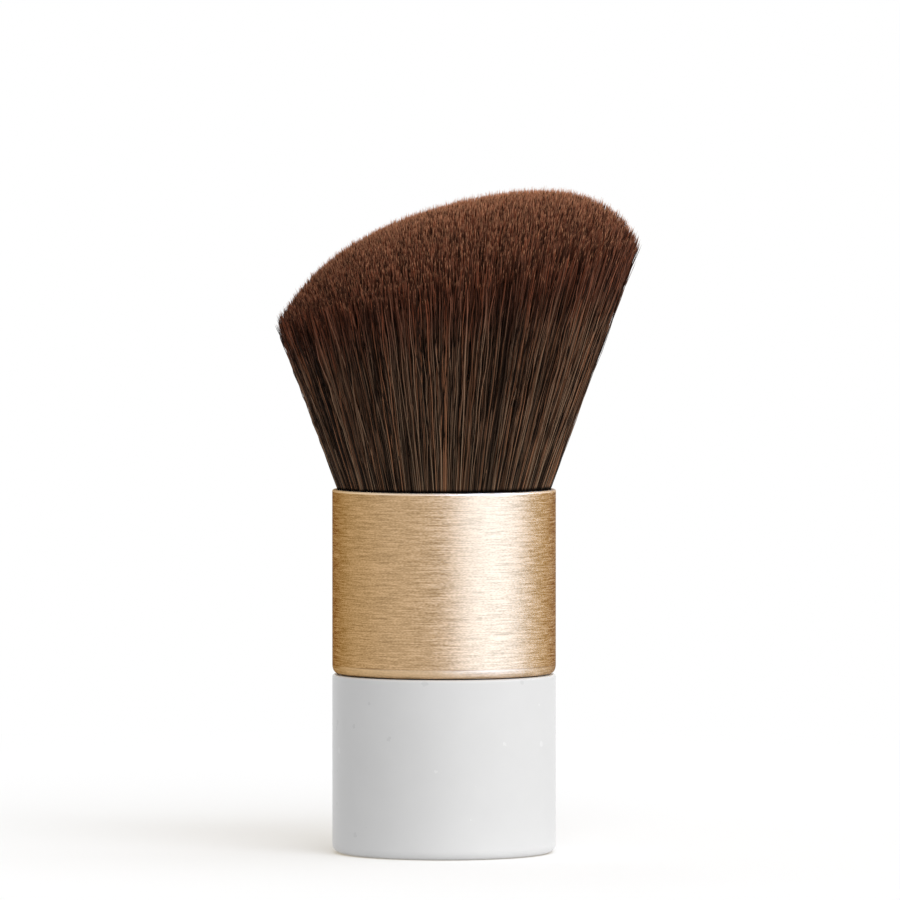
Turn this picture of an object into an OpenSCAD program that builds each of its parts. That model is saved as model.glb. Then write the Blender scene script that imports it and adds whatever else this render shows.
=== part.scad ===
// Angled kabuki makeup brush: a white handle shell, a brushed ferrule and a fanned, slanted bristle head.
// Millimetres, +Z up, origin at the centre of the handle's flat underside.
// +X is the tall side of the head. The head is the same in front and behind.

/* [Handle] */
// Outside diameter of the handle and the ferrule
barrel_d = 32; // [28:0.5:38]
// Height of the handle shell
handle_h = 25.6; // [21:0.2:40]
// Wall of the handle shell
handle_wall = 2.6; // [2.4:0.1:3.2]
// Floor of the handle shell
floor_t = 2.4; // [1.6:0.2:4]
// Rounding of the shell's bottom edge
foot_round = 1.3; // [0.8:0.1:2.4]
// Rounding of the shell's top edge
brim_round = 0.4; // [0.2:0.1:0.8]
// Lead-in chamfer of the shell's bore
bore_lead = 0.3; // [0.1:0.1:0.5]
// Number of ribs that centre the weight
rib_count = 6; // [4:1:8]
// Thickness of one rib
rib_t = 1.2; // [0.8:0.1:2]
// How far a rib stands in from the bore
rib_h = 1.1; // [0.6:0.1:2.4]

/* [Weight] */
// Height of the balance weight
weight_h = 9; // [5:0.5:12]
// Chamfer of the weight's edges
weight_bevel = 0.6; // [0.2:0.1:1]

/* [Ferrule] */
// Height of the ferrule
ferrule_h = 26.3; // [24:0.1:36]
// Sheet thickness of the ferrule
ferrule_wall = 0.6; // [0.4:0.05:0.65]
// How far the roll at the ferrule's bottom edge draws in
roll_w = 0.7; // [0.7:0.05:0.9]
// Height of that roll
roll_h = 1.2; // [0.8:0.1:1.6]
// Width of the lip that the ferrule's bottom edge is rolled into
lip_w = 1.6; // [1.5:0.1:1.9]
// Rounding of the ferrule's mouth edge
mouth_round = 0.25; // [0.1:0.05:0.35]
// Open line between the handle and the ferrule
shadow_gap = 0.15; // [0.1:0.05:0.8]

/* [Core plug] */
// Wall of the plug's spigot
spigot_wall = 1.6; // [1.2:0.1:2.2]
// Thickness of the deck that carries the knot cup
deck_t = 2; // [1.4:0.1:3]
// Height from the weight to the end of the spigot's wall
spigot_relief = 0.6; // [0.2:0.1:2]
// Thickness of the webs that hold the weight down
web_t = 1.6; // [1:0.1:2.4]
// Number of webs
web_count = 4; // [3:1:8]

/* [Knot cup] */
// Height of the cup that holds the bristle roots
cup_h = 12.2; // [11.4:0.2:15]
// How far the cup's rim stays below the face of the root slice
cup_recess = 1.8; // [1.2:0.1:2.6]
// Wall of the cup
cup_wall = 1; // [0.8:0.1:1.4]
// Floor of the cup
cup_floor = 1.2; // [0.8:0.1:1.6]
// Diameter of the centring stud under the cup
stud_d = 6; // [4:0.5:10]
// Length of the centring stud
stud_h = 1.7; // [0.8:0.1:1.9]

/* [Glue and binding] */
// Height of the resin above the cup's floor
resin_h = 6.1; // [4:0.1:6.6]
// Resin below the cut roots
resin_bed = 1.2; // [0.6:0.1:2]
// Resin round the roots
resin_wall = 1.1; // [0.9:0.1:1.6]
// Width of one glue groove
groove_w = 1.1; // [0.8:0.1:1.5]
// Depth of one glue groove
groove_depth = 0.35; // [0.2:0.05:0.5]
// Height of the binding band
band_h = 2.4; // [1.6:0.1:2.6]
// Thickness of the binding band
band_t = 0.6; // [0.4:0.05:0.7]
// Bare root below and above the band
band_lift = 0.2; // [0.1:0.1:0.4]

/* [Bristles] */
// Height of the bristles above the mouth, on the axis
head_h = 40.6; // [30:0.2:50]
// Rise of the tips from the axis to the tall side
head_slant = 8.4; // [0:0.2:11]
// Fall of the domed tips from the axis to the rim
crown_drop = 6.4; // [3:0.2:9]
// Further fall close to the rim
rim_drop = 5.4; // [2:0.2:8]
// How much more the tall side falls at the rim than the axis does
rim_drop_slant = 2.8; // [0:0.2:4]
// Angle that the outermost bristles lean to either side
fan_side = 20; // [12:0.2:26]
// Angle that the outermost bristles lean to the front and back
fan_depth = 18.6; // [12:0.2:26]
// Number of strands
strand_count = 480; // [300:10:500]
// Least gap between two strands at the mouth
strand_gap = 0.03; // [0.02:0.01:0.3]
// Share of its height at which a strand starts to taper
strand_belly = 0.82; // [0.6:0.02:0.92]
// Thickness of a strand's tip against its body
strand_tip = 0.14; // [0.05:0.01:0.5]
// Uneven length of the strands, up or down
strand_stray = 0.45; // [0:0.05:1]
// Depth of the root slice's face below the mouth
root_depth = 2; // [1.4:0.1:2.6]

/* [Fits] */
// Radial clearance between pieces that slide together
fit_clear = 0.1; // [0.05:0.01:0.15]
// Radial glue line round the cup and the roots
glue_line = 0.03; // [0.01:0.01:0.08]

/* [Hidden] */
$fn = 96;
arc_steps = 8;
sides = 3;

// How far a strand's foot is sunk into the root slice
strand_sink = 0.5;
// Turn from one strand to the next, which spreads them evenly
golden_angle = 137.508;
// Closest pair of places in the spiral, as a share of the side of the square that each strand has
spiral_share = 0.872;
stray_seed = 7;

barrel_r = barrel_d / 2;
bore_r = barrel_r - handle_wall;
weight_r = bore_r - rib_h - fit_clear;
ferrule_in_r = barrel_r - ferrule_wall;
lip_in_r = barrel_r - lip_w;
spigot_r = bore_r - fit_clear;
spigot_in_r = spigot_r - spigot_wall;
collar_r = lip_in_r - fit_clear;
plug_r = ferrule_in_r - fit_clear;
cup_in_r = plug_r - cup_wall;
resin_r = cup_in_r - glue_line;
root_r = cup_in_r - resin_wall;
bundle_r = ferrule_in_r - fit_clear;

weight_top = floor_t + weight_h;
ferrule_z = handle_h + shadow_gap;
lip_top = ferrule_z + ferrule_wall;
mouth_z = ferrule_z + ferrule_h;
slice_z = mouth_z - root_depth;
cup_top = slice_z - cup_recess;
plug_top = cup_top - cup_h;
resin_z = plug_top + cup_floor;
resin_top = resin_z + resin_h;
root_z = resin_z + resin_bed;
band_z = resin_top + band_lift;
flare_z = band_z + band_h + band_lift;

// Strands as thick as the spiral leaves room for, inside the mouth and apart by their gap
pitch_share = spiral_share * sqrt(PI / strand_count);
strand_pitch = pitch_share * (bundle_r + strand_gap / 2) / (1 + pitch_share / 2);
strand_r = (strand_pitch - strand_gap) / 2;
strays = rands(-strand_stray, strand_stray, strand_count, stray_seed);

// Points along an arc about [x, y], stretched upwards to the height rise where it isn't round
function arc(x, y, r, from, to, rise) =
    [for (i = [0:arc_steps])
        let (a = from + (to - from) * i / arc_steps)
        [x + r * cos(a), y + (is_undef(rise) ? r : rise) * sin(a)]];

// Spread of the fan at a height, as factors on a place in the mouth, across and in depth
function spread(z) = [for (lean = [fan_side, fan_depth]) 1 + (z - mouth_z) * tan(lean) / bundle_r];

// Height of the tips above the mouth, for a place in the mouth as shares of its radius
function crown(s, t) =
    let (q = s * s + t * t)
    head_h + head_slant * s - crown_drop * q - (rim_drop + rim_drop_slant * s) * q * q;

// Place of strand i in the mouth: a spiral that gives every strand the same room
function strand_place(i) =
    let (
        r = (bundle_r - strand_r) * sqrt((i + 0.5) / strand_count),
        a = golden_angle * i
    )
    [r * cos(a), r * sin(a)];

// One cross-section of a strand, opened out by the fan and drawn in by size
function strand_ring(place, turn, z, size) =
    let (k = spread(z))
    [for (j = [0:sides - 1])
        let (a = turn + 360 * j / sides)
        [k.x * (place.x + size * strand_r * cos(a)), k.y * (place.y + size * strand_r * sin(a)), z]];

function strand_points(i) =
    let (
        place = strand_place(i),
        turn = golden_angle * i,
        tip_z = mouth_z + crown(place.x / bundle_r, place.y / bundle_r) + strays[i],
        belly_z = slice_z + strand_belly * (tip_z - slice_z)
    )
    concat(
        strand_ring(place, turn, slice_z - strand_sink, 1),
        strand_ring(place, turn, belly_z, 1),
        strand_ring(place, turn, tip_z, strand_tip)
    );

// Faces of a strand whose first point is number n: foot, two rows of sides, tip
function strand_faces(n) = concat(
    [[n, n + 1, n + 2]],
    [for (row = [0:1]) for (j = [0:sides - 1]) for (half = [0:1])
        let (
            a = n + row * sides + j,
            b = n + row * sides + (j + 1) % sides
        )
        half == 0 ? [a, a + sides, b] : [b, a + sides, b + sides]],
    [[n + 3 * sides - 1, n + 3 * sides - 2, n + 3 * sides - 3]]
);

// White moulded cup: rounded foot, chamfered bore, ribs that centre the weight
module handle_shell() {
    color("whitesmoke") {
        rotate_extrude()
            polygon(concat(
                [[0, 0]],
                arc(barrel_r - foot_round, foot_round, foot_round, -90, 0),
                arc(barrel_r - brim_round, handle_h - brim_round, brim_round, 0, 90),
                [
                    [bore_r + bore_lead, handle_h],
                    [bore_r, handle_h - bore_lead],
                    [bore_r, floor_t],
                    [0, floor_t]
                ]
            ));
        for (i = [0:rib_count - 1])
            rotate(360 * i / rib_count)
                weight_rib();
    }
}

// One rib, rooted in the wall and the floor
module weight_rib() {
    root = 0.3;
    translate([bore_r - rib_h, -rib_t / 2, floor_t - root])
        cube([rib_h + root, rib_t, weight_h - weight_bevel + root]);
}

// Steel slug on the shell's floor
module balance_weight() {
    color("slategray")
        translate([0, 0, floor_t])
            rotate_extrude()
                polygon([
                    [0, 0],
                    [weight_r - weight_bevel, 0],
                    [weight_r, weight_bevel],
                    [weight_r, weight_h - weight_bevel],
                    [weight_r - weight_bevel, weight_h],
                    [0, weight_h]
                ]);
}

// Moulded plug: its shoulder traps the ferrule's lip, its spigot is glued into the shell
module core_plug() {
    deck_z = plug_top - deck_t;
    bevel_w = roll_w - ferrule_wall + fit_clear;
    bevel_top = lip_top + roll_h - ferrule_wall + fit_clear;
    color("dimgray")
        difference() {
            union() {
                rotate_extrude()
                    polygon([
                        [spigot_in_r, weight_top + spigot_relief],
                        [spigot_r, weight_top + spigot_relief],
                        [spigot_r, handle_h],
                        [collar_r, handle_h],
                        [collar_r, lip_top],
                        [plug_r - bevel_w, lip_top],
                        [plug_r, bevel_top],
                        [plug_r, plug_top],
                        [0, plug_top],
                        [0, deck_z],
                        [spigot_in_r, deck_z]
                    ]);
                for (i = [0:web_count - 1])
                    rotate(360 * i / web_count)
                        hold_down_web(deck_z);
            }
            stud_hole(deck_z);
            glue_grooves(plug_r, bevel_top, deck_z);
        }
}

// Web from the deck down to the top of the weight, rooted in the spigot's wall
module hold_down_web(deck_z) {
    inner = stud_d / 2 + fit_clear + web_t;
    root = 0.4;
    translate([inner, -web_t / 2, weight_top])
        cube([weight_r - weight_bevel - web_t - inner, web_t, deck_z + root - weight_top]);
    translate([inner, -web_t / 2, weight_top + spigot_relief])
        cube([spigot_in_r + root - inner, web_t, deck_z + root - weight_top - spigot_relief]);
}

module stud_hole(deck_z) {
    translate([0, 0, deck_z - 1])
        cylinder(r = stud_d / 2 + fit_clear, h = deck_t + 2);
}

// Two ring grooves cut into an outside wall between two heights
module glue_grooves(r, from, to) {
    for (share = [1 / 3, 2 / 3])
        translate([0, 0, from + (to - from) * share - groove_w / 2])
            difference() {
                cylinder(r = r + 1, h = groove_w);
                translate([0, 0, -1])
                    cylinder(r = r - groove_depth, h = groove_w + 2);
            }
}

// Brushed sleeve, rolled in at the bottom
module ferrule() {
    color("burlywood")
        translate([0, 0, ferrule_z])
            rotate_extrude()
                polygon(concat(
                    [[lip_in_r, 0]],
                    arc(barrel_r - roll_w, roll_h, roll_w, -90, 0, roll_h),
                    arc(barrel_r - mouth_round, ferrule_h - mouth_round, mouth_round, 0, 90),
                    [[ferrule_in_r, ferrule_h]],
                    arc(barrel_r - roll_w, roll_h, roll_w - ferrule_wall, 0, -90, roll_h - ferrule_wall),
                    [[lip_in_r, ferrule_wall]]
                ));
}

// Heights of the resin keys above the cup's floor
function key_heights() = [for (share = [0.3, 0.7]) resin_h * share - groove_w / 2];

// Cup for the bristle roots, with a centring stud and grooves that key the resin
module knot_cup() {
    rim_bevel = cup_wall / 2;
    color("silver")
        difference() {
            union() {
                rotate_extrude()
                    polygon([
                        [0, plug_top],
                        [plug_r, plug_top],
                        [plug_r, cup_top],
                        [cup_in_r + rim_bevel, cup_top],
                        [cup_in_r, cup_top - rim_bevel],
                        [cup_in_r, resin_z],
                        [0, resin_z]
                    ]);
                translate([0, 0, plug_top - stud_h])
                    cylinder(d = stud_d, h = stud_h + cup_floor / 2);
            }
            for (z = key_heights())
                translate([0, 0, resin_z + z])
                    cylinder(r = cup_in_r + groove_depth, h = groove_w);
        }
}

// Resin that pots the roots, keyed into the cup's grooves
module epoxy_plug() {
    color("goldenrod")
        difference() {
            union() {
                translate([0, 0, resin_z])
                    cylinder(r = resin_r, h = resin_h);
                for (z = key_heights())
                    translate([0, 0, resin_z + z + glue_line])
                        cylinder(r = resin_r + groove_depth, h = groove_w - 2 * glue_line);
            }
            translate([0, 0, root_z])
                cylinder(r = root_r + glue_line, h = resin_h);
        }
}

// Crimped band that ties the roots above the resin
module binding_band() {
    edge = band_t / 3;
    color("peru")
        translate([0, 0, band_z])
            rotate_extrude()
                translate([root_r + glue_line, 0])
                    polygon([
                        [0, 0],
                        [band_t - edge, 0],
                        [band_t, edge],
                        [band_t, band_h - edge],
                        [band_t - edge, band_h],
                        [0, band_h]
                    ]);
}

// Packed roots, which flare past the cup's rim to the slice that the strands stand on
module root_bundle() {
    slice_r = bundle_r * max(spread(slice_z));
    rotate_extrude()
        polygon([
            [0, root_z],
            [root_r, root_z],
            [root_r, flare_z],
            [cup_in_r - fit_clear, cup_top],
            [slice_r, slice_z - strand_sink],
            [slice_r, slice_z],
            [0, slice_z]
        ]);
}

// Every strand, as closed three-sided spikes that fan out and never cross
module strands() {
    polyhedron(
        points = [for (i = [0:strand_count - 1]) each strand_points(i)],
        faces = [for (i = [0:strand_count - 1]) each strand_faces(i * 3 * sides)]
    );
}

module bristle_head() {
    color("saddlebrown") {
        root_bundle();
        strands();
    }
}

handle_shell();
balance_weight();
core_plug();
ferrule();
knot_cup();
epoxy_plug();
binding_band();
bristle_head();
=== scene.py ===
"""The looks of an angled kabuki makeup brush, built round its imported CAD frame.

Metres, +Z up. The camera looks from -Y, as the photograph does.
"""

import math

import bpy
import numpy as np
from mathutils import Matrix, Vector


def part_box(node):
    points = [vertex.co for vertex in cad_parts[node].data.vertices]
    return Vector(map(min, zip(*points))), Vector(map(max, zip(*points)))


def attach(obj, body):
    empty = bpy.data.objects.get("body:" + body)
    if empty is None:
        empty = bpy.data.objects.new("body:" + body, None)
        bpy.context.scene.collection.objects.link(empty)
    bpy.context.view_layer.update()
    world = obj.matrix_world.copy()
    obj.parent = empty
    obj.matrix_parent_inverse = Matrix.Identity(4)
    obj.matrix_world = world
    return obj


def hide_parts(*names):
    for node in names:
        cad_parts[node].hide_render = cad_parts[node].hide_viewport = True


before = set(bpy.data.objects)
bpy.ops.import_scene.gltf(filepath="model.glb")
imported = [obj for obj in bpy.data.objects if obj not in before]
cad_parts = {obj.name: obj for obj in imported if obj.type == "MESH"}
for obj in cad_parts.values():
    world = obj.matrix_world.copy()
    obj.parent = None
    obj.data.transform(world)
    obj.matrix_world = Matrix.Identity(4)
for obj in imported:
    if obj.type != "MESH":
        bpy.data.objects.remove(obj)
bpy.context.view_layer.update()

MM = 0.001
BODY = "root"
PHOTO_PX = 900

# Sizes read from the frame
FERRULE_LOW, FERRULE_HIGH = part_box("ferrule")
BARREL_R = FERRULE_HIGH.x
MOUTH_Z = FERRULE_HIGH.z
ROOT_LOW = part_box("bristle_head")[0]

# The photograph's view: how far a pixel reaches at the handle's axis, and where the frame's middle lies
PX_SIZE = 0.14305 * MM
VIEW_DISTANCE = 1356 * MM
VIEW_ELEVATION = math.radians(2.1)
VIEW_HEIGHT = 57.65 * MM
VIEW_OFFSET = 0.85 * MM
SENSOR_WIDTH = 36
CLIP_END = 100

# Bristle head, with the same fan and crown as the solid
BUNDLE_R = BARREL_R - 0.7 * MM
FAN_SIDE = math.radians(20)
FAN_DEPTH = math.radians(18.6)
HEAD_H = 40.6 * MM
HEAD_SLANT = 8.4 * MM
CROWN_DROP = 6.4 * MM
RIM_DROP = 5.4 * MM
RIM_DROP_SLANT = 2.8 * MM

# Root piece, with the same outline below the mouth as the solid
ROOT_DEPTH = 2 * MM
ROOT_EDGE_H = 0.5 * MM
CUP_RECESS = 1.8 * MM
CUP_BORE_R = 14.2 * MM
BOUND_ROOT_R = 13.2 * MM
BOUND_ROOT_H = 7.7 * MM
ROOT_TURNS = 96

# Hairs: inner ones show only their ends, outer ones their whole length
SEED = 11
HAIR_COUNT = 36000
HAIR_R = 0.062 * MM
HAIR_R_SPREAD = (0.75, 1.25)
SIDES = 3
OUTER_SHARE = 0.8
INNER_PIECES = 4
OUTER_PIECES = 6

# Places of a hair's rings and its thickness, at shares of its length above the mouth
INNER_RINGS = [0.0, 0.7, 0.86, 0.94, 0.975, 1.0]
OUTER_RINGS = [0.0, 0.01, 0.1, 0.2, 0.3, 0.4, 0.5, 0.6, 0.7, 0.79, 0.87, 0.93, 0.975, 1.0]
TIP_SIZES = [(0.0, 1.0), (0.95, 1.0), (0.975, 0.8), (0.99, 0.55), (1.0, 0.15)]

# Unevenness of the places, as a share of their spacing, and waves of the outer hairs
PLACE_STRAY = 0.45
WAVE = 0.14 * MM
WAVE_SPREAD = (0.3, 1.7)
WAVE_TURNS = (1.5, 3.6)
LEAN_POWER = 1.3

# Leans of the hairs' ends off their own rays, round the axis and outwards, calm and wild
WILD_SHARE = 0.15
SIDE_LEAN = 0.9 * MM
WILD_SIDE_LEAN = 2.2 * MM
OUT_LEAN = 0.2 * MM
WILD_OUT_LEAN = 0.3 * MM
OUT_LEAN_MEAN = -0.15

# Locks: how their hairs draw together, lean and splay, most of all at the rim
LOCKS = 1300
RIM_POWER = 8
GATHER = 0.1
RIM_GATHER = 0.15
RIM_LEAN = -0.15 * MM
RIM_LEAN_SPREAD = 0.28 * MM
SPLAY = 0.6 * MM
SPLAY_SHARE = 0.12
SPLAY_FROM = 0.95

# Lengths of the hairs against the crown, with a share of long ones
RAISE = 0.1 * MM
RIM_RAISE = 0.9 * MM
SHORT = 0.25 * MM
RIM_SHORT = 2.2 * MM
LOCK_LENGTH_SPREAD = 0.06 * MM
LONG_SHARE = 0.28
LONG_REACH = 0.55 * MM

# Strips of the hairs' map: SHADES of them for each ring of depth, from deep to outer, and for long hairs.
# The end faces of the hairs lie in the margins below and above.
SHADES = 16
DEPTH_STEPS = (0.55, 0.82, 0.93)
OUTERMOST = len(DEPTH_STEPS)
LONG = OUTERMOST + 1
SHADE_STRIPS = SHADES * (LONG + 1)
STRIP_MARGIN = 0.08
CAP_MARGIN = 0.01


def crown(s, t):
    """Height of the tips above the mouth, for a place in the mouth as shares of its radius."""
    q = s * s + t * t
    return HEAD_H + HEAD_SLANT * s - CROWN_DROP * q - (RIM_DROP + RIM_DROP_SLANT * s) * q * q


def fan(places, height):
    """Where the rays through places in the mouth are at a height above it."""
    spread = 1 + np.outer(height, [math.tan(FAN_SIDE), math.tan(FAN_DEPTH)]) / BUNDLE_R
    return places * spread


def spiral(count, radius):
    """Places that fill a disc evenly."""
    i = np.arange(count)
    r = radius * np.sqrt((i + 0.5) / count)
    turn = i * math.pi * (3 - math.sqrt(5))
    return np.stack([r * np.cos(turn), r * np.sin(turn)], 1)


def nearest(points, centres, batch=2000):
    """Number of the centre that each point is nearest to."""
    found = np.empty(len(points), int)
    for start in range(0, len(points), batch):
        part = points[start:start + batch]
        gaps = ((part[:, None] - centres[None]) ** 2).sum(2)
        found[start:start + batch] = gaps.argmin(1)
    return found


def show(name, data):
    """A new object in the scene."""
    shown = bpy.data.objects.new(name, data)
    bpy.context.scene.collection.objects.link(shown)
    return shown


def add_mesh(name, points, faces, material, smooth=True):
    mesh = bpy.data.meshes.new(name)
    mesh.from_pydata(points, [], faces)
    mesh.materials.append(material)
    mesh.polygons.foreach_set("use_smooth", [smooth] * len(mesh.polygons))
    mesh.update()
    return show(name, mesh)


# Node helpers

class Nodes:
    """Adds nodes to a material or a world and links them by the names of their sockets."""

    def __init__(self, owner, shader="Principled BSDF"):
        owner.use_nodes = True
        self.owner = owner
        self.tree = owner.node_tree
        self.shader = self.tree.nodes[shader]

    def put(self, socket, value):
        if isinstance(value, bpy.types.NodeSocket):
            self.tree.links.new(value, socket)
        else:
            socket.default_value = value

    def add(self, kind, inputs=None, **settings):
        node = self.tree.nodes.new(kind)
        for key, value in settings.items():
            setattr(node, key, value)
        for key, value in (inputs or {}).items():
            self.put(node.inputs[key], value)
        return node

    def set(self, **values):
        """Sets or links sockets of the shader, with _ for each space in their names."""
        for key, value in values.items():
            self.put(self.shader.inputs[key.replace("_", " ")], value)

    def math(self, operation, a, b=0.0, clamp=False):
        return self.add("ShaderNodeMath", {0: a, 1: b}, operation=operation, use_clamp=clamp).outputs[0]

    def mix(self, share, a, b, blend_type="MIX"):
        inputs = {0: share, 6: a, 7: b}
        return self.add("ShaderNodeMix", inputs, data_type="RGBA", blend_type=blend_type).outputs[2]

    def ramp(self, value, stops):
        node = self.add("ShaderNodeValToRGB", {0: value})
        points = node.color_ramp.elements
        for i, (place, colour) in enumerate(stops):
            point = points[i] if i < 2 else points.new(place)
            point.position = place
            point.color = rgb(colour)
        return node.outputs[0]

    def rescale(self, value, start, end, low=0.0, high=1.0, interpolation_type="LINEAR"):
        """Runs from low at start to high at end, and stays level outside them."""
        inputs = {"Value": value, "From Min": start, "From Max": end, "To Min": low, "To Max": high}
        return self.add("ShaderNodeMapRange", inputs, interpolation_type=interpolation_type).outputs[0]

    def place(self, stretch=1):
        """The object's own coordinates, scaled along the axis."""
        where = self.add("ShaderNodeTexCoord").outputs["Object"]
        return self.add("ShaderNodeMapping", {"Vector": where, "Scale": (1, 1, stretch)}).outputs[0]

    def noise(self, scale, stretch=1, detail=2.0, roughness=0.5, output="Fac"):
        inputs = {"Vector": self.place(stretch), "Scale": scale, "Detail": detail, "Roughness": roughness}
        return self.add("ShaderNodeTexNoise", inputs).outputs[output]

    def bump(self, height, strength, distance):
        inputs = {"Height": height, "Strength": strength, "Distance": distance}
        self.set(Normal=self.add("ShaderNodeBump", inputs).outputs[0])

    def seen_directly(self):
        """1 for what the camera, a mirror or a clear part sees, 0 for what lights the scene."""
        path = self.add("ShaderNodeLightPath").outputs
        seen = path["Is Camera Ray"]
        for ray in ("Is Glossy Ray", "Is Transmission Ray"):
            seen = self.math("MAXIMUM", seen, path[ray])
        return seen


def rgb(colour):
    """A colour or a grey as the four numbers of a colour socket."""
    colour = (colour,) * 3 if isinstance(colour, (int, float)) else colour
    return (*colour, 1.0)


# Bristle material

# Colours of the darkest and the palest hairs, from foot to tip; the first stop is painted shade on the
# hairs' feet, in the mouth and just above it
DARK_SHAFT = (
    (0.02, (0.003, 0.002, 0.0015)),
    (0.03, (0.012, 0.007, 0.005)),
    (0.7, (0.014, 0.0075, 0.005)),
    (0.9, (0.024, 0.009, 0.0055)),
    (1.0, (0.06, 0.02, 0.011)),
)
PALE_SHAFT = (
    (0.02, (0.02, 0.012, 0.008)),
    (0.03, (0.46, 0.26, 0.155)),
    (0.7, (0.46, 0.23, 0.135)),
    (0.9, (0.4, 0.145, 0.083)),
    (1.0, (0.44, 0.15, 0.082)),
)
HAIR_TINTS = ((0.0, (0.86, 1.05, 1.15)), (0.5, (1, 1, 1)), (1.0, (1.12, 0.94, 0.82)))
HAIR_ROUGHNESS = 0.5
HAIR_SPECULAR = 0.04

# The higher this power of the shade, the fewer pale hairs
SHADE_POWER = 2.1
# Painted shade on deep hairs: the share of their paleness that the deepest hairs keep below their tips, and
# where their tips begin and come out of that shade
PALENESS_UNDER_PAINTED_SHADE = 0.3
TIP_START = 0.86
TIP_RISE = 12

# Painted glow, a pale colour on the thin ends in place of light shining through them: its colour, where it
# starts and is full, and how much each kind shows
PAINTED_GLOW_COLOUR = (1, 0.47, 0.255)
GLOW_START = 0.982
GLOW_FULL = 0.9925
OUTER_GLOW_LOSS = 0.7
LONG_GLOW = 0.6
LONG_GLOW_AHEAD = 0.009


def bristle_material():
    """Dark brown shafts that turn red-brown at the tips, with painted shade on deep hairs and on the hairs'
    feet, and a painted glow on the thin ends in place of light shining through them.
    """
    n = Nodes(bpy.data.materials.new("bristle_brown"))
    place = n.add("ShaderNodeUVMap", uv_map="OFBake").outputs[0]
    parts = n.add("ShaderNodeSeparateXYZ", {0: place})
    along = parts.outputs[1]
    strip = n.math("FLOOR", n.math("MULTIPLY", parts.outputs[0], SHADE_STRIPS))
    depth = n.math("DIVIDE", strip, SHADES)
    outer = n.math("DIVIDE", n.math("FLOOR", depth), OUTERMOST, clamp=True)
    long = n.math("GREATER_THAN", n.math("FLOOR", depth), LONG - 0.5)

    # Painted shade: deeper hairs are darkened below their tips, where the hairs round them would shade them
    painted_shade_factor = n.math("ADD", n.math("MULTIPLY", outer, 1 - PALENESS_UNDER_PAINTED_SHADE), PALENESS_UNDER_PAINTED_SHADE)
    at_tip = n.math("MULTIPLY", n.math("SUBTRACT", along, TIP_START, clamp=True), TIP_RISE, clamp=True)
    shade = n.math("POWER", n.math("FRACT", depth), SHADE_POWER)
    shade = n.math("MULTIPLY", shade, n.math("MAXIMUM", painted_shade_factor, at_tip))
    chance = n.add("ShaderNodeTexWhiteNoise", {"W": strip}, noise_dimensions="1D").outputs["Value"]
    shaft = n.mix(shade, n.ramp(along, DARK_SHAFT), n.ramp(along, PALE_SHAFT))
    shaft = n.mix(1.0, shaft, n.ramp(chance, HAIR_TINTS), "MULTIPLY")

    # Painted glow on the ends, full on deep and long hairs and weaker on the outer ones
    end = n.math("ADD", along, n.math("MULTIPLY", long, LONG_GLOW_AHEAD))
    painted_glow_share = n.math("SUBTRACT", 1.0, n.math("MULTIPLY", outer, OUTER_GLOW_LOSS))
    painted_glow_share = n.math("MAXIMUM", painted_glow_share, n.math("MULTIPLY", long, LONG_GLOW))
    glow = n.math("MULTIPLY", n.rescale(end, GLOW_START, GLOW_FULL), painted_glow_share)
    n.set(Base_Color=n.mix(glow, shaft, rgb(PAINTED_GLOW_COLOUR)))
    n.set(Roughness=HAIR_ROUGHNESS, Specular_IOR_Level=HAIR_SPECULAR)
    return n.owner


ROOT_TONES = ((0.35, (0.015, 0.009, 0.006)), (0.65, (0.07, 0.042, 0.028)))
ROOT_GRAIN = 2600
ROOT_STRETCH = 0.04
ROOT_BUMP = (0.5, 0.1 * MM)


def root_material():
    """Packed dark hair roots, soaked in resin low down."""
    n = Nodes(bpy.data.materials.new("packed_roots"))
    ends = n.noise(ROOT_GRAIN, ROOT_STRETCH)
    n.set(Base_Color=n.ramp(ends, ROOT_TONES), Roughness=HAIR_ROUGHNESS)
    n.bump(ends, *ROOT_BUMP)
    return n.owner


# Ferrule material

# Layers of the brushing: scale of the noise, stretch along the axis, detail and weight
BRUSHING = ((140, 40, 1, 0.25), (330, 22, 1, 0.45), (2600, 3, 0, 0.3))
BRUSH_LOW = 0.36
BRUSH_HIGH = 0.64
GOLD_TONES = (
    (BRUSH_LOW, (0.325, 0.194, 0.08)),
    (0.5, (0.493, 0.308, 0.137)),
    (BRUSH_HIGH, (0.675, 0.443, 0.216)),
)
GOLD_ROUGHNESS = (0.43, 0.66)
GOLD_AT_GRAZING = (0.25, 0.13, 0.04)
GOLD_ANISOTROPY = 0.45
GOLD_ANISOTROPY_TURN = 0.25
GOLD_BUMP = (0.1, 0.015 * MM)

# Painted light round the ferrule: a painted highlight on the roll at the foot, painted shade in patches
# along the crease over it, and a painted highlight on the lip of the mouth
ROLL_H = 1.25 * MM
ROLL_HIGHLIGHT_SHARE = 0.3
ROLL_PAINTED_HIGHLIGHT = (0.8, 0.6, 0.36)
CREASE_H = 0.2 * MM
CREASE_PAINTED_SHADE = (0.22, 0.12, 0.05)
CREASE_PATCHES = 60
PATCH_START = 0.4
PATCH_RISE = 3
LIP_H = 0.3 * MM
LIP_HIGHLIGHT_SHARE = 0.7
LIP_PAINTED_HIGHLIGHT = (0.95, 0.74, 0.48)


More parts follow.
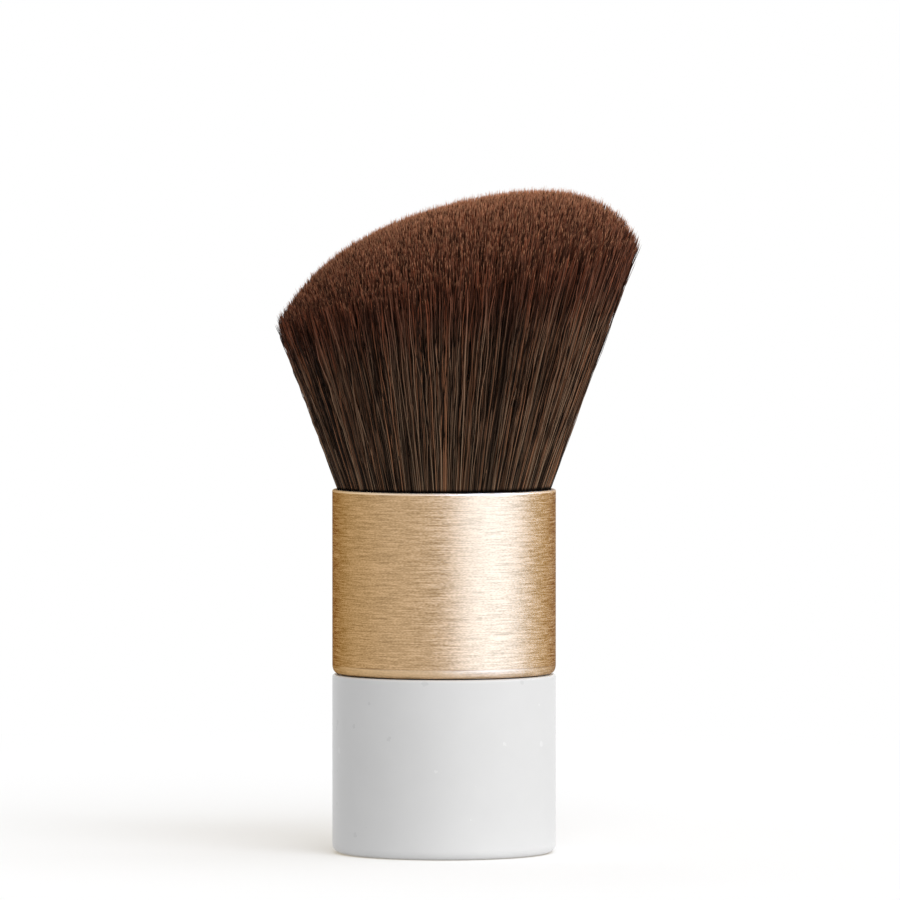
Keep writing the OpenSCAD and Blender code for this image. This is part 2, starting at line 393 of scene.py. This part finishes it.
def ferrule_material():
    """Gold anodised aluminium with fine brushing round the axis, with painted highlights on the roll and the
    lip and painted shade along the crease.
    """
    n = Nodes(bpy.data.materials.new("brushed_gold"))
    lines = 0.0
    for scale, stretch, detail, weight in BRUSHING:
        lines = n.math("ADD", lines, n.math("MULTIPLY", n.noise(scale, stretch, detail), weight))

    z = n.add("ShaderNodeSeparateXYZ", {0: n.place()}).outputs[2]
    low = n.math("SUBTRACT", z, FERRULE_LOW.z)
    roll = n.math("LESS_THAN", low, ROLL_H)
    off_roll = n.math("ABSOLUTE", n.math("SUBTRACT", low, ROLL_H))
    patches = n.math("SUBTRACT", n.noise(CREASE_PATCHES, 0), PATCH_START, clamp=True)
    crease_shade = n.math("LESS_THAN", off_roll, CREASE_H / 2)
    crease_shade = n.math("MULTIPLY", crease_shade, n.math("MULTIPLY", patches, PATCH_RISE))
    lip = n.math("GREATER_THAN", z, FERRULE_HIGH.z - LIP_H)

    colour = n.ramp(lines, GOLD_TONES)
    # Painted highlight on the roll, painted shade along the crease, painted highlight on the lip
    colour = n.mix(n.math("MULTIPLY", roll, ROLL_HIGHLIGHT_SHARE), colour, rgb(ROLL_PAINTED_HIGHLIGHT))
    colour = n.mix(crease_shade, colour, rgb(CREASE_PAINTED_SHADE))
    colour = n.mix(n.math("MULTIPLY", lip, LIP_HIGHLIGHT_SHARE), colour, rgb(LIP_PAINTED_HIGHLIGHT))
    n.set(Base_Color=colour, Roughness=n.rescale(lines, BRUSH_LOW, BRUSH_HIGH, *GOLD_ROUGHNESS))
    n.set(Metallic=1.0, Specular_Tint=rgb(GOLD_AT_GRAZING))
    n.set(Anisotropic=GOLD_ANISOTROPY, Anisotropic_Rotation=GOLD_ANISOTROPY_TURN)
    n.set(Tangent=n.add("ShaderNodeTangent", direction_type="RADIAL", axis="Z").outputs[0])
    n.bump(lines, *GOLD_BUMP)
    return n.owner


# Handle material

WHITE_TONES = ((0.3, 0.85), (0.7, 0.87))
WHITE_CLOUDS = 180
WHITE_ROUGHNESS = 0.3
WHITE_SPECULAR = 0.3
WHITE_WAVES = 90
WHITE_BUMP = (0.05, 0.05 * MM)

# Flecks: one in some of the cells, grey or pale, with a ragged edge
FLECK_GAP = 2.4 * MM
FLECK_R = 0.56 * MM
FLECK_SHARE = 0.5
FLECK_STRAY = 0.7 * MM
FLECK_EDGE = 1800
PALE_FLECK = 0.5
GREY_FLECK = 0.12
GREY_TONE = 0.3


def handle_material():
    """Glossy white moulding with a few faint flecks, pale and grey."""
    n = Nodes(bpy.data.materials.new("gloss_white"))
    where = n.mix(FLECK_STRAY, n.place(), n.noise(FLECK_EDGE, output="Color"))
    cells = n.add("ShaderNodeTexVoronoi", {"Vector": where, "Scale": 1 / FLECK_GAP})
    chance = n.add("ShaderNodeSeparateXYZ", {0: cells.outputs["Color"]})
    chosen = n.math("SUBTRACT", chance.outputs[0], 1 - FLECK_SHARE, clamp=True)
    reach = n.math("MULTIPLY", chosen, FLECK_R / FLECK_GAP / FLECK_SHARE)
    fleck = n.math("LESS_THAN", cells.outputs["Distance"], reach)
    is_pale = n.math("GREATER_THAN", chance.outputs[1], 0.5)
    pale = n.math("MULTIPLY", fleck, is_pale)
    grey = n.math("MULTIPLY", fleck, n.math("SUBTRACT", 1.0, is_pale))

    colour = n.ramp(n.noise(WHITE_CLOUDS, detail=3), WHITE_TONES)
    colour = n.mix(n.math("MULTIPLY", pale, PALE_FLECK), colour, rgb(1.0))
    colour = n.mix(n.math("MULTIPLY", grey, GREY_FLECK), colour, rgb(GREY_TONE))
    n.set(Base_Color=colour, Roughness=WHITE_ROUGHNESS, Specular_IOR_Level=WHITE_SPECULAR)
    n.bump(n.noise(WHITE_WAVES, detail=1), *WHITE_BUMP)
    return n.owner


# Materials of the inner pieces

# Name, dark and pale tone, scale of the grain, metallic, roughness, and stretch along the axis
INNER_LOOKS = {
    "balance_weight": ("turned_steel", (0.4, 0.41, 0.43), (0.58, 0.59, 0.61), 900, 1.0, 0.3, 30),
    "core_plug": ("moulded_grey", (0.05, 0.05, 0.055), (0.075, 0.075, 0.08), 1500, 0.0, 0.5, 1),
    "knot_cup": ("drawn_aluminium", (0.62, 0.62, 0.64), (0.78, 0.78, 0.8), 700, 1.0, 0.28, 20),
    "epoxy_plug": ("amber_resin", (0.5, 0.3, 0.09), (0.66, 0.44, 0.16), 300, 0.0, 0.18, 1),
    "binding_band": ("brass_strip", (0.6, 0.43, 0.18), (0.76, 0.58, 0.3), 1100, 1.0, 0.3, 16),
}
DARK_END = 0.3
PALE_START = 0.7
GRAIN_DETAIL = 4
GRAIN_FINENESS = 0.6
GRAIN_ROUGHNESS = 0.15
GRAIN_BUMP = (0.15, 0.05 * MM)


def inner_material(name, dark, pale, scale, metallic, roughness, stretch):
    """Two tones of one colour, with a little grain."""
    n = Nodes(bpy.data.materials.new(name))
    grain = n.noise(scale, stretch, GRAIN_DETAIL, GRAIN_FINENESS)
    tone = n.ramp(grain, ((DARK_END, dark), (PALE_START, pale)))
    rough = n.math("ADD", roughness, n.math("MULTIPLY", grain, GRAIN_ROUGHNESS))
    n.set(Base_Color=tone, Metallic=metallic, Roughness=rough)
    n.bump(grain, *GRAIN_BUMP)
    return n.owner


def dress(node, material):
    """Gives a CAD node its material, in every slot it has."""
    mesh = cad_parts[node].data
    if not mesh.materials:
        mesh.materials.append(material)
    for i in range(len(mesh.materials)):
        mesh.materials[i] = material


def dress_cad_nodes():
    dress("handle_shell", handle_material())
    dress("ferrule", ferrule_material())
    for node, look in INNER_LOOKS.items():
        dress(node, inner_material(*look))


# Bristle head

def hair_places(rng):
    """Uneven places that fill the mouth, and the share of its radius that each is out."""
    places = spiral(HAIR_COUNT, BUNDLE_R - HAIR_R)
    places += rng.normal(0, PLACE_STRAY, places.shape) * BUNDLE_R / math.sqrt(HAIR_COUNT)
    reach = np.linalg.norm(places, axis=1)
    places *= np.minimum(1, (BUNDLE_R - HAIR_R) / reach)[:, None]
    return places, np.linalg.norm(places, axis=1) / BUNDLE_R


def hair_tips(rng, places, shares):
    """Height of each hair's end above the mouth, its lean off its own ray, and whether it is long."""
    count = len(places)
    lock_places = spiral(LOCKS, BUNDLE_R)
    lock = nearest(places, lock_places)
    rim = shares ** RIM_POWER
    out = places / np.linalg.norm(places, axis=1)[:, None]
    around = np.stack([-out[:, 1], out[:, 0]], 1)
    wild = rng.random(count) < WILD_SHARE
    side_lean = rng.normal(0, 1, count) * np.where(wild, WILD_SIDE_LEAN, SIDE_LEAN)
    out_lean = rng.normal(OUT_LEAN_MEAN, 1, count) * np.where(wild, WILD_OUT_LEAN, OUT_LEAN)
    out_lean += rim * rng.normal(RIM_LEAN, RIM_LEAN_SPREAD, LOCKS)[lock]
    splayed = (rng.random(LOCKS) < SPLAY_SHARE)[lock] & (shares > SPLAY_FROM)
    out_lean += np.where(splayed, SPLAY, 0)
    gather = (rng.uniform(0, GATHER, count) + RIM_GATHER * rim)[:, None] * (lock_places[lock] - places)
    leans = side_lean[:, None] * around + out_lean[:, None] * out + gather

    s, t = (places + leans / 2).T / BUNDLE_R
    short = np.abs(rng.normal(0, 1, count)) * (SHORT + RIM_SHORT * rim)
    uneven = rng.normal(0, LOCK_LENGTH_SPREAD, LOCKS)[lock]
    extra = rng.uniform(0, LONG_REACH, count)
    long = rng.random(count) < LONG_SHARE
    return crown(s, t) + RAISE + RIM_RAISE * rim - short + uneven + extra * long, leans, long


def hair_lines(rng, places, tips, leans, rings, wave):
    """Centre points of each hair: its foot below the mouth, then the rings' shares of its length."""
    count = len(places)
    turns = rng.uniform(*WAVE_TURNS, (count, 2))
    phase = rng.uniform(0, 2 * math.pi, (count, 2))
    size = wave * rng.uniform(*WAVE_SPREAD, (count, 1))
    lines = np.empty((count, len(rings), 3))
    for k, share in enumerate(rings):
        height = share * tips if k else np.full(count, -ROOT_DEPTH)
        sway = size * math.sqrt(share) * np.sin(phase + 2 * math.pi * turns * share)
        lines[:, k, :2] = fan(places, height) + leans * share ** LEAN_POWER + sway
        lines[:, k, 2] = MOUTH_Z + height
    return lines


def hair_faces(count, rings):
    """Corner numbers of the sides and both ends of closed three-sided tubes."""
    first = np.arange(count)[:, None, None] * rings * SIDES
    ring = np.arange(rings - 1)[None, :, None] * SIDES
    side = np.arange(SIDES)[None, None, :]
    low = first + ring + side
    low_after = first + ring + (side + 1) % SIDES
    quads = np.stack([low, low_after, low_after + SIDES, low + SIDES], -1).reshape(-1, 4)
    foot = first[:, 0] + np.array([2, 1, 0])
    end = first[:, 0] + (rings - 1) * SIDES + np.array([0, 1, 2])
    return quads, foot, end


def hair_map(strip, rings):
    """Map corners in the order of hair_faces: each hair in the strip of its shade, foot to tip."""
    side = np.arange(SIDES)[None, None, :]
    width = (1 - 2 * STRIP_MARGIN) / SHADE_STRIPS
    left = (strip + STRIP_MARGIN) / SHADE_STRIPS
    height = CAP_MARGIN + (1 - 2 * CAP_MARGIN) * np.array(rings)
    u_low = left[:, None, None] + width * side / SIDES
    u_high = left[:, None, None] + width * (side + 1) / SIDES
    parts = np.broadcast_arrays(u_low, u_high, height[:-1][None, :, None], height[1:][None, :, None])
    u_low, u_high, v_low, v_high = parts
    quads = np.stack([u_low, v_low, u_high, v_low, u_high, v_high, u_low, v_high], -1).reshape(-1, 2)
    cap = np.array([[0.0, 0.0], [1.0, 0.0], [0.5, 1.0]]) * [width, 0.8 * CAP_MARGIN]
    foot = np.stack([left, np.zeros_like(left)], 1)[:, None] + cap
    end = np.stack([left, np.full_like(left, 1 - 0.9 * CAP_MARGIN)], 1)[:, None] + cap
    return np.concatenate([quads, foot.reshape(-1, 2), end.reshape(-1, 2)])


def add_hairs(name, lines, rings, depth, material, rng):
    """One piece of closed, tapered, three-sided hairs along the lines."""
    count = len(lines)
    turn = rng.uniform(0, 2 * math.pi, count)[:, None] + np.arange(SIDES) * 2 * math.pi / SIDES
    size = HAIR_R * rng.uniform(*HAIR_R_SPREAD, count)[:, None] * np.interp(rings, *zip(*TIP_SIZES))
    points = np.repeat(lines[:, :, None, :], SIDES, 2)
    points[..., 0] += size[:, :, None] * np.cos(turn)[:, None, :]
    points[..., 1] += size[:, :, None] * np.sin(turn)[:, None, :]
    quads, foot, end = hair_faces(count, len(rings))
    corners = np.concatenate([quads.ravel(), foot.ravel(), end.ravel()])
    sizes = np.concatenate([np.full(len(quads), 4), np.full(2 * count, 3)])

    mesh = bpy.data.meshes.new(name)
    mesh.vertices.add(points.size // 3)
    mesh.vertices.foreach_set("co", points.ravel())
    mesh.loops.add(len(corners))
    mesh.loops.foreach_set("vertex_index", corners)
    mesh.polygons.add(len(sizes))
    mesh.polygons.foreach_set("loop_start", np.concatenate([[0], np.cumsum(sizes)[:-1]]))
    mesh.update(calc_edges=True)
    mesh.polygons.foreach_set("use_smooth", np.ones(len(sizes), bool))
    mesh.materials.append(material)
    strip = depth * SHADES + rng.integers(0, SHADES, count)
    mesh.uv_layers.new(name="OFBake").data.foreach_set("uv", hair_map(strip, rings).ravel())
    stand_for_head(show(name, mesh))


def stand_for_head(piece):
    """Lets a piece take the place of the frame's bristle head."""
    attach(piece, BODY)
    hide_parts("bristle_head")


def add_bristle_head():
    rng = np.random.default_rng(SEED)
    material = bristle_material()
    places, shares = hair_places(rng)
    tips, leans, long = hair_tips(rng, places, shares)
    depth = np.where(long, LONG, np.digitize(shares, DEPTH_STEPS))
    outer = shares > OUTER_SHARE
    kinds = (
        ("inner", ~outer, INNER_RINGS, 0.0, INNER_PIECES),
        ("outer", outer, OUTER_RINGS, WAVE, OUTER_PIECES),
    )
    for kind, chosen, rings, wave, pieces in kinds:
        lines = hair_lines(rng, places[chosen], tips[chosen], leans[chosen], rings, wave)
        for i in range(pieces):
            part = slice(i, None, pieces)
            add_hairs(f"bristles_{kind}_{i + 1}", lines[part], rings, depth[chosen][part], material, rng)
    add_roots()


def revolved(name, profile, material, turns):
    """A closed solid of revolution from (radius, height) points that start and end on the axis."""
    inner = profile[1:-1]
    points = [(0, 0, profile[0][1]), (0, 0, profile[-1][1])]
    for i in range(turns):
        a = 2 * math.pi * i / turns
        points += [(r * math.cos(a), r * math.sin(a), z) for r, z in inner]
    rows, faces = len(inner), []
    for i in range(turns):
        a, b = 2 + i * rows, 2 + (i + 1) % turns * rows
        faces.append((0, b, a))
        faces += [(a + k, b + k, b + k + 1, a + k + 1) for k in range(rows - 1)]
        faces.append((1, a + rows - 1, b + rows - 1))
    return add_mesh(name, points, faces, material)


def add_roots():
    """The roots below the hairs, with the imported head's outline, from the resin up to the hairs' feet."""
    slice_z = MOUTH_Z - ROOT_DEPTH
    slice_r = BUNDLE_R - ROOT_DEPTH * math.tan(FAN_DEPTH)
    profile = [
        (0, ROOT_LOW.z),
        (BOUND_ROOT_R, ROOT_LOW.z),
        (BOUND_ROOT_R, ROOT_LOW.z + BOUND_ROOT_H),
        (CUP_BORE_R, slice_z - CUP_RECESS),
        (slice_r, slice_z - ROOT_EDGE_H),
        (slice_r, slice_z),
        (0, slice_z),
    ]
    stand_for_head(revolved("bristle_roots", profile, root_material(), ROOT_TURNS))


# Surroundings

# Even light from all round, and a wide softbox at the right, in front
FILL = 0.515
KEY_AZIMUTH = math.radians(48)
KEY_ELEVATION = math.radians(24)
KEY_DISTANCE = 2.2
KEY_WIDTH = 2.8
KEY_HEIGHT = 0.9
KEY_RADIANCE = 3.6

# Cards that show only on the ferrule: its bright band, its right edge and its paler middle
CARDS = (
    (math.radians(50), (2.05, 4.7, 13.3)),
    (math.radians(112), (0.38, 0.35, 0.07)),
    (math.radians(-37), (0.29, 0.46, 0.95)),
)
CARD_DISTANCE = 0.6
CARD_WIDTH = 0.87
CARD_HEIGHT = 0.5
CARD_LIFT = 1 * MM

# Suns for the floor alone: azimuth, elevation and angle across in degrees, and their light on the floor
FLOOR_SUNS = ((25, 42, 50, 0.3), (80, 62, 50, 0.14), (180, 72, 50, 0.1))

# Light on the open floor, counted a little low so that the floor comes out white
FLOOR_MARGIN = 0.02
FLOOR_LIGHT = FILL - FLOOR_MARGIN + sum(level for azimuth, elevation, angle, level in FLOOR_SUNS)

# The floor: how it looks, what it gives back to the brush, a glow round the foot that lights the brush's
# foot, and where it fades into the background
FLOOR_HALF = 3.0
FLOOR_ALBEDO = (0.7, 0.76, 0.86)
FLOOR_BOUNCE = 0.5
FOOT_GLOW_LIGHT = 0.14
FOOT_REACH = 2 * BARREL_R
FADE_CENTRE = (0, 0.06, 0)
FADE_START = 0.1
FADE_END = 0.2


def add_camera():
    camera = show("camera", bpy.data.cameras.new("camera"))
    half_view = PHOTO_PX * PX_SIZE / 2
    camera.data.sensor_width = SENSOR_WIDTH
    camera.data.lens = SENSOR_WIDTH / 2 * VIEW_DISTANCE / half_view
    camera.data.clip_end = CLIP_END
    back = Vector((0, -math.cos(VIEW_ELEVATION), math.sin(VIEW_ELEVATION)))
    camera.location = Vector((VIEW_OFFSET, 0, VIEW_HEIGHT)) + VIEW_DISTANCE * back
    camera.rotation_euler = (math.pi / 2 - VIEW_ELEVATION, 0, 0)
    bpy.context.scene.camera = camera


def direction(azimuth, elevation=0.0):
    """Away from the brush. Azimuth 0 is the camera's side, and 90 degrees is the right."""
    return Vector((
        math.sin(azimuth) * math.cos(elevation),
        -math.cos(azimuth) * math.cos(elevation),
        math.sin(elevation),
    ))


def add_area_light(name, width, height, colour, centre, distance, away):
    """A rectangle of light that faces centre, as bright as its colour says, unseen by the camera."""
    light = bpy.data.lights.new(name, "AREA")
    light.shape = "RECTANGLE"
    light.size = width
    light.size_y = height
    light.color = colour
    light.energy = math.pi * width * height
    area = show(name, light)
    area.location = centre + distance * away
    area.rotation_euler = away.to_track_quat("Z", "Y").to_euler()
    area.visible_camera = False
    return area


def receivers(name, piece, state="INCLUDE"):
    """A collection for lamps that light one piece alone, or all but that piece."""
    chosen = bpy.data.collections.new(name)
    chosen.objects.link(piece)
    chosen.collection_objects[0].light_linking.link_state = state
    return chosen


def add_floor_suns(floor):
    """Soft suns for the floor alone, which spread the brush's shadow round its foot."""
    lit = receivers("lit_by_suns", floor)
    for azimuth, elevation, angle, level in FLOOR_SUNS:
        light = bpy.data.lights.new("floor_sun", "SUN")
        light.angle = math.radians(angle)
        light.energy = level * math.pi / math.sin(math.radians(elevation))
        sun = show("floor_sun", light)
        away = direction(math.radians(azimuth), math.radians(elevation))
        sun.rotation_euler = away.to_track_quat("Z", "Y").to_euler()
        sun.light_linking.receiver_collection = lit


def add_key(floor):
    """The softbox, which leaves the floor to its own suns."""
    away = direction(KEY_AZIMUTH, KEY_ELEVATION)
    centre = Vector((0, 0, VIEW_HEIGHT))
    key = add_area_light("key", KEY_WIDTH, KEY_HEIGHT, (1, 1, 1), centre, KEY_DISTANCE, away)
    key.data.energy *= KEY_RADIANCE
    key.light_linking.receiver_collection = receivers("lit_by_key", floor, "EXCLUDE")


def add_shine_cards():
    lit = receivers("lit_by_cards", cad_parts["ferrule"])
    centre = Vector((0, 0, CARD_HEIGHT / 2 + CARD_LIFT))
    for azimuth, radiance in CARDS:
        away = direction(azimuth)
        card = add_area_light("shine_card", CARD_WIDTH, CARD_HEIGHT, radiance, centre, CARD_DISTANCE, away)
        card.visible_diffuse = False
        card.light_linking.receiver_collection = lit


def add_world():
    world = bpy.data.worlds.new("world")
    bpy.context.scene.world = world
    n = Nodes(world, "Background")
    n.set(Color=rgb(1.0), Strength=n.rescale(n.seen_directly(), 0, 1, FILL, 1.0))


def floor_material():
    """White ground that keeps the soft shadow near the brush and fades into the white background."""
    n = Nodes(bpy.data.materials.new("floor_white"))
    seen = n.seen_directly()
    where = n.add("ShaderNodeTexCoord").outputs["Object"]
    from_axis = n.add("ShaderNodeVectorMath", {0: where}, operation="LENGTH").outputs["Value"]
    at_foot = n.rescale(from_axis, FOOT_REACH, BARREL_R, interpolation_type="SMOOTHSTEP")
    away = n.add("ShaderNodeVectorMath", {0: where, 1: FADE_CENTRE}, operation="DISTANCE").outputs["Value"]
    fade = n.rescale(away, FADE_START, FADE_END, interpolation_type="SMOOTHSTEP")

    albedo = n.mix(seen, rgb(FLOOR_BOUNCE), rgb(FLOOR_ALBEDO))
    lit = n.add("ShaderNodeBsdfDiffuse", {"Color": albedo}).outputs[0]
    missing = [1 - part * FLOOR_LIGHT for part in FLOOR_ALBEDO]
    glow_colour = n.mix(seen, rgb(1.0), rgb(missing))
    # Near the foot the floor glows, unseen by the camera, to light the brush's foot
    strength = n.math("MAXIMUM", seen, n.math("MULTIPLY", at_foot, FOOT_GLOW_LIGHT))
    glow = n.add("ShaderNodeEmission", {"Color": glow_colour, "Strength": strength}).outputs[0]
    near = n.add("ShaderNodeAddShader", {0: lit, 1: glow}).outputs[0]
    white = n.add("ShaderNodeEmission", {"Color": rgb(1.0), "Strength": 1.0}).outputs[0]
    mixed = n.add("ShaderNodeMixShader", {0: n.math("MULTIPLY", fade, seen), 1: near, 2: white}).outputs[0]
    n.put(n.tree.nodes["Material Output"].inputs["Surface"], mixed)
    n.tree.nodes.remove(n.shader)
    return n.owner


def add_floor():
    h = FLOOR_HALF
    corners = [(-h, -h, 0), (h, -h, 0), (h, h, 0), (-h, h, 0)]
    floor = add_mesh("floor", corners, [(0, 1, 2, 3)], floor_material(), smooth=False)
    return floor


add_camera()
floor = add_floor()
add_floor_suns(floor)
add_key(floor)
add_shine_cards()
add_world()
dress_cad_nodes()
add_bristle_head()

bpy.context.scene.view_settings.view_transform = "Standard"
